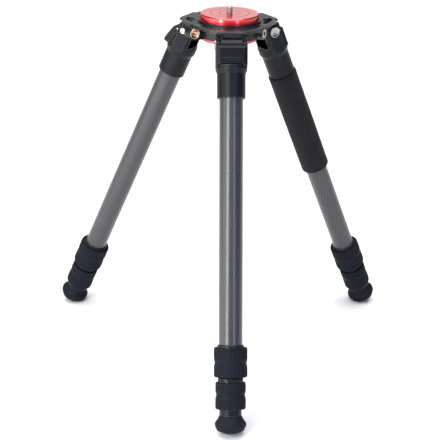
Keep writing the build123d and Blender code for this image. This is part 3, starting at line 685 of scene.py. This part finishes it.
def rubberFoot(name):
    points = inPlace("front_foot", places["front"])
    low, high = heightSpan(points)
    wide = max(math.hypot(p.x, p.y) for p in points)
    neck = radiusAt([p for p in points if math.hypot(p.x, p.y) > 8 * mm], high, max)
    rim = max(p.z for p in points if math.hypot(p.x, p.y) > wide - 0.05 * mm)
    band = min(p.z for p in points if math.hypot(p.x, p.y) > wide - 0.3 * mm)
    heel = band - (band - low) * 0.5
    heelRadius = wide * foot["heel"]
    rings = [(neck * 0.5, high), (neck - 0.8 * mm, high), (neck, high - 0.5 * mm),
             (neck + 0.5 * mm, high - 2 * mm)]
    flare, dome = foot["flare"], foot["dome"]
    for k in range(1, flare):
        share = k / flare
        rings.append((neck + 0.5 * mm + (wide - neck - 0.9 * mm) * share ** 1.15,
                      high - 2 * mm + (rim + 0.6 * mm - high + 2 * mm) * share))
    rings += [(wide - 0.15 * mm, rim + 0.25 * mm), (wide, rim - 0.5 * mm),
              (wide - 0.05 * mm, band + 1.2 * mm), (wide - 0.45 * mm, band + 0.2 * mm),
              (wide - 1.0 * mm, band - 0.3 * mm)]
    rings += [(heelRadius + 0.6 * mm, heel + 0.6 * mm), (heelRadius - 0.6 * mm, heel - 0.1 * mm),
              (heelRadius - 1.6 * mm, heel - 0.7 * mm)]
    for k in range(1, dome):
        share = k / dome
        rings.append(((heelRadius - 1.6 * mm) * (1 - share), heel - 0.7 * mm + (low - heel + 0.7 * mm)
                      * math.sin(share * math.pi / 2)))
    piece = lathe(name, rings, foot["segments"], capFirst=True)
    editAll(piece)
    pickPoints(piece, lambda co: math.hypot(co.x, co.y) < heelRadius * 0.17 and co.z < heel)
    bpy.ops.mesh.edge_face_add()
    outward()
    bpy.ops.object.mode_set(mode="OBJECT")
    smooth(piece, 40)
    return piece


forEachLeg(rubberFoot("foot"), "RubberFoot", "_foot", "_lower", footRubber)


# foam hand grip on one leg

grip = {"segments": 72, "rows": 22, "swell": 0.35 * mm, "round": 4.2 * mm, "roundTop": 1.2 * mm}


def foamGrip():
    place = places["right"]
    points = inPlace("foam_grip", place)
    low, high = heightSpan(points)
    outer = max(math.hypot(p.x, p.y) for p in points)
    bore = min(math.hypot(p.x, p.y) for p in points)
    outer -= grip["swell"]
    rows, bend, brim = grip["rows"], grip["round"], grip["roundTop"]
    rings = [(bore, high), (outer - brim, high), (outer - 0.4 * brim, high - 0.3 * brim),
             (outer, high - brim)]
    for k in range(1, rows):
        rings.append((outer, high - brim + (low + bend - high + brim) * k / rows))
    for k in range(0, 6):
        angle = k / 5 * math.pi / 2
        rings.append((outer - bend + bend * math.cos(angle), low + bend - bend * math.sin(angle)))
    rings += [(bore, low), (bore, high)]
    piece = lathe("rightFoamGrip", rings, grip["segments"], close=True)
    middle = (outer + bore) / 2
    for point in piece.data.vertices:
        radius = math.hypot(point.co.x, point.co.y)
        if radius > middle:
            turn = math.atan2(point.co.y, point.co.x)
            along = point.co.z * 60
            soft = 0.5 + 0.5 * math.sin(3 * turn + along) * math.sin(1.7 * along + turn)
            share = 1 + grip["swell"] * soft / radius
            point.co.x *= share
            point.co.y *= share
    smooth(piece, 60)
    settle(piece, place)
    piece.data.materials.append(foam())
    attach(piece, "right_leg")
    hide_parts("foam_grip")
    print("made foam grip")


foamGrip()


# platform screw: threaded stud, knurled knob

stud = {"pitch": 1.5875 * mm, "threadDepth": 0.95 * mm, "steps": 40, "knurls": 48, "knurlDepth": 0.5 * mm}


def threadedRod(name, radius, low, high, pitch, depth):
    # one pitch of the thread's outline, wound upwards by a screw modifier and cut square at both ends
    clearPick()
    bpy.ops.mesh.primitive_plane_add(size=pitch, location=(radius - depth, 0, 0),
                                     rotation=(math.pi / 2, 0, 0))
    piece = bpy.context.active_object
    piece.name = name
    bpy.ops.object.transform_apply(location=True, rotation=True, scale=True)
    editAll(piece)
    bpy.ops.mesh.delete(type="ONLY_FACE")
    pickPoints(piece, lambda co: co.x < radius - depth)
    bpy.ops.mesh.delete(type="VERT")
    bpy.ops.mesh.select_all(action="SELECT")
    bpy.ops.mesh.subdivide(number_cuts=7)
    bpy.ops.object.mode_set(mode="OBJECT")
    shape = {-0.5: 0, -0.375: 0.04, -0.25: 0.36, -0.125: 0.72, 0: 1, 0.125: 0.98, 0.25: 0.64, 0.375: 0.28,
             0.5: 0}
    for point in piece.data.vertices:
        key = min(shape, key=lambda s: abs(s - point.co.z / pitch))
        point.co.x = radius - depth + depth * shape[key]
        point.co.z = pitch * key
    turns = math.ceil((high - low) / pitch) + 2
    modify(piece, "SCREW", axis="Z", screw_offset=pitch, iterations=turns, steps=stud["steps"],
           render_steps=stud["steps"], use_merge_vertices=True, merge_threshold=0.002 * mm)
    for point in piece.data.vertices:
        point.co.z += low - pitch
    for height, side in ((high, 1), (low, -1)):
        editAll(piece)
        bpy.ops.mesh.bisect(plane_co=(0, 0, height), plane_no=(0, 0, side), use_fill=True, clear_outer=True)
        bpy.ops.object.mode_set(mode="OBJECT")
    editAll(piece)
    bpy.ops.mesh.remove_doubles(threshold=0.002 * mm)
    outward()
    bpy.ops.object.mode_set(mode="OBJECT")
    for point in piece.data.vertices:
        radiusHere = math.hypot(point.co.x, point.co.y)
        limit = radius - max(0, point.co.z - high + 1.1 * mm)
        if radiusHere > limit:
            point.co.x *= limit / radiusHere
            point.co.y *= limit / radiusHere
    smooth(piece, 30)
    return piece


def platformScrew():
    points = inPlace("platform_screw", Matrix.Identity(4))
    low, high = heightSpan(points)
    wide = max(math.hypot(p.x, p.y) for p in points)
    knobTop = max(p.z for p in points if math.hypot(p.x, p.y) > wide - 1 * mm)
    radius = max(math.hypot(p.x, p.y) for p in points if p.z > knobTop + 3 * mm)
    rod = threadedRod("platformScrew", radius, knobTop - 1 * mm, high, stud["pitch"], stud["threadDepth"])
    knob = lathe("knob", [(wide - 1.2 * mm, knobTop), (wide - 0.4 * mm, knobTop - 0.3 * mm),
                          (wide, knobTop - 1 * mm), (wide, low + 1 * mm), (wide - 0.4 * mm, low + 0.3 * mm),
                          (wide - 1.2 * mm, low)],
                 4 * stud["knurls"], capFirst=True, capLast=True)
    editAll(knob)
    step = 2 * math.pi / (4 * stud["knurls"])

    def inKnurl(co):
        return round(math.atan2(co.y, co.x) / step) % 4 < 2 and math.hypot(co.x, co.y) > wide - 0.1 * mm

    pickPoints(knob, inKnurl)
    scaleRound(1 - stud["knurlDepth"] / wide, 0)
    bpy.ops.object.mode_set(mode="OBJECT")
    smooth(knob, 30)
    piece = joined([rod, knob])
    piece.data.materials.append(metal("studSteel", (0.6, 0.58, 0.53, 1), 0.5))
    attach(piece, "platform_screw")
    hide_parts("platform_screw")
    print("made platform screw")


platformScrew()


# screw heads: a dished, rounded head with a hexagon socket

def socketHead(name, radius, height, dish, socket, under):
    # Z out of the head; the seat is at height 0
    rim = 0.16 * radius
    rings = [(under, -0.5 * mm), (under, 0), (radius - 0.25 * mm, 0), (radius, 0.25 * mm),
             (radius, height - 0.5 * mm), (radius - 0.18 * mm, height - 0.15 * mm),
             (radius - 0.5 * mm, height),
             (radius - rim, height - 0.05 * mm), (radius - 1.5 * rim, height - 0.4 * dish),
             (socket + 0.9 * mm, height - dish), (socket + 0.35 * mm, height - dish - 0.05 * mm)]
    piece = lathe(name, rings, 96, capFirst=True, capLast=True)
    editAll(piece)
    top = height - dish - 0.05 * mm
    pickPoints(piece, lambda co: abs(co.z - top) < 0.001 * mm)
    bpy.ops.mesh.select_mode(type="FACE")
    bpy.ops.mesh.inset(thickness=0.35 * mm, depth=0)
    bpy.ops.object.mode_set(mode="OBJECT")
    for point in piece.data.vertices:
        radiusHere = math.hypot(point.co.x, point.co.y)
        if abs(point.co.z - top) < 0.001 * mm and radiusHere < socket + 0.2 * mm:
            turn = (math.atan2(point.co.y, point.co.x)) % (math.pi / 3) - math.pi / 6
            share = socket * math.cos(math.pi / 6) / math.cos(turn) / radiusHere
            point.co.x *= share
            point.co.y *= share
    bpy.ops.object.mode_set(mode="EDIT")
    bpy.ops.mesh.extrude_region_move(TRANSFORM_OT_translate={"value": (0, 0, -0.55 * height)})
    bpy.ops.mesh.inset(thickness=0.5 * mm, depth=-0.3 * mm)
    outward()
    bpy.ops.object.mode_set(mode="OBJECT")
    smooth(piece, 32)
    return piece


pivotHead = {"dish": 0.7 * mm, "socket": 3.1 * mm, "bead": 0.25 * mm}


def widest(points):
    return max(math.hypot(p.x, p.z) for p in points)


def pivotScrews():
    # a headed screw on one side of the leg, and the plain end of the pivot on the other
    brightSteel = {leg: metal(leg + "PivotSteel", (0.46, 0.46, 0.48, 1), 0.16,
                              places[leg] @ Matrix.Rotation(math.pi / 2, 4, "X"), 0.5 * mm) for leg in legs}
    points = inPlace("front_pivot_screws", places["front"])
    near = [p for p in points if p.y < 0]
    far = [p for p in points if p.y > 0]
    wide, farWide = widest(near), widest(far)
    seat = max(p.y for p in near if math.hypot(p.x, p.z) > wide - 0.3 * mm)
    thread = widest([p for p in near if p.y > seat + 1 * mm])
    height = seat - min(p.y for p in near)
    head = socketHead("pivotHead", wide, height, pivotHead["dish"], pivotHead["socket"], thread)
    settle(head, Matrix.Translation((0, seat, 0)) @ Matrix.Rotation(math.pi / 2, 4, "X"))
    root = min(p.y for p in far if math.hypot(p.x, p.z) > farWide - 0.1 * mm)
    tip, bead = max(p.y for p in far), pivotHead["bead"]
    plug = lathe("pivotPlug", [(farWide, root), (farWide, tip - bead),
                               (farWide - 0.3 * bead, tip - 0.3 * bead), (farWide - bead, tip),
                               (0.4 * farWide, tip), (0.3 * farWide, tip - bead)],
                 48, capFirst=True, capLast=True)
    smooth(settle(plug, Matrix.Rotation(-math.pi / 2, 4, "X")))
    forEachLeg(joined([head, plug]), "PivotScrews", "_pivot_screws", "_leg", lambda leg: brightSteel[leg])


pivotScrews()


clampHead = {"dish": 0.9 * mm, "socket": 3.4 * mm, "shank": 2.9 * mm}


def clampScrew():
    place = screwPlace("clamp_screw_turn", "clamp_screw")
    points = inPlace("clamp_screw", place)
    wide = max(math.hypot(p.x, p.y) for p in points)
    rim = [p.z for p in points if math.hypot(p.x, p.y) > 0.7 * wide]
    low, high = heightSpan(points)
    headUp = high - max(rim) < min(rim) - low
    if not headUp:
        place = place @ Matrix.Rotation(math.pi, 4, "X")
        points = inPlace("clamp_screw", place)
        rim = [p.z for p in points if math.hypot(p.x, p.y) > 0.7 * wide]
        low, high = heightSpan(points)
    seat = min(rim)
    head = socketHead("clampScrew", wide, max(rim) - seat, clampHead["dish"], clampHead["socket"],
                      clampHead["shank"])
    shank = lathe("clampShank", [(clampHead["shank"], seat), (clampHead["shank"], low)], 48, capFirst=True,
                  capLast=True)
    settle(head, Matrix.Translation((0, 0, seat)))
    piece = settle(joined([head, shank]), place)
    piece.data.materials.append(metal("clampBrass", (0.83, 0.6, 0.4, 1), 0.2, place))
    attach(piece, "clamp_screw")
    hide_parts("clamp_screw")
    print("made clamp screw")


clampScrew()


# floor, light and camera

stage = {"size": 40, "dark": (0.9, 0.9, 0.9, 1), "pale": (0.92, 0.92, 0.92, 1), "rough": 0.8}


def stageFloor():
    clearPick()
    bpy.ops.mesh.primitive_plane_add(size=stage["size"], location=(0, 0, cadBox[0].z))
    floor = bpy.context.active_object
    floor.name = "paleFloor"
    material, tree, shader, at = newMaterial("paleFloor")
    colour = mixColour(tree, noise(tree, at, 3.0), stage["dark"], stage["pale"])
    fill(tree, shader.inputs["Base Color"], colour)
    shader.inputs["Roughness"].default_value = stage["rough"]
    floor.data.materials.append(material)


lamps = {
    # place, aim, width, height, radiance, colour
    "keyLeft": ((-1.0, -1.38, 0.30), (0, 0, -0.28), 0.5, 1.7, 13.0, (1.0, 0.99, 0.98)),
    "fillRight": ((0.8, -1.55, 0.30), (0, 0, -0.28), 0.26, 1.7, 8.5, (0.66, 0.66, 1.0)),
    "leftWall": ((-1.9, -0.7, 0.1), (0, 0, -0.2), 1.4, 1.4, 2.3, (1.0, 1.0, 1.0)),
    "back": ((0.0, 2.3, 0.95), (0, 0, 0), 2.6, 1.2, 1.05, (1.0, 1.0, 1.0)),
}
sky = {"sun": 3.5, "spread": math.radians(60), "world": 0.06}


def studioLights():
    for name, (place, aim, width, height, radiance, colour) in lamps.items():
        clearPick()
        bpy.ops.object.light_add(type="AREA", location=place)
        lamp = bpy.context.active_object
        lamp.name = name
        lamp.data.shape = "RECTANGLE"
        lamp.data.size = width
        lamp.data.size_y = height
        lamp.data.energy = radiance * math.pi * width * height
        lamp.data.color = colour
        lamp.rotation_euler = (Vector(aim) - Vector(place)).to_track_quat("-Z", "Y").to_euler()
        lamp.visible_camera = False
    clearPick()
    bpy.ops.object.light_add(type="SUN", location=(0, 0, 2))
    soft = bpy.context.active_object
    soft.name = "overhead"
    soft.data.energy = sky["sun"]
    soft.data.angle = sky["spread"]
    world = bpy.data.worlds.new("studio")
    bpy.context.scene.world = world
    world.use_nodes = True
    background = world.node_tree.nodes["Background"]
    background.inputs["Color"].default_value = (1, 1, 1, 1)
    background.inputs["Strength"].default_value = sky["world"]
    bpy.context.scene.view_settings.view_transform = "Standard"


cameraSet = {"place": (-0.1001, -1.8653, 0.4250), "yaw": 0.0495, "pitch": 0.3938, "roll": 0.023,
             "lens": 98.84}


def studioCamera():
    clearPick()
    bpy.ops.object.camera_add(location=cameraSet["place"])
    camera = bpy.context.active_object
    turn = Matrix.Rotation(-cameraSet["yaw"], 3, "Z")
    turn = turn @ Matrix.Rotation(math.pi / 2 - cameraSet["pitch"], 3, "X")
    camera.rotation_euler = (turn @ Matrix.Rotation(cameraSet["roll"], 3, "Z")).to_euler()
    camera.data.lens = cameraSet["lens"]
    camera.data.sensor_width = 36
    camera.data.clip_end = 60
    bpy.context.scene.camera = camera


stageFloor()
studioLights()
studioCamera()
print("stage, light and camera set")
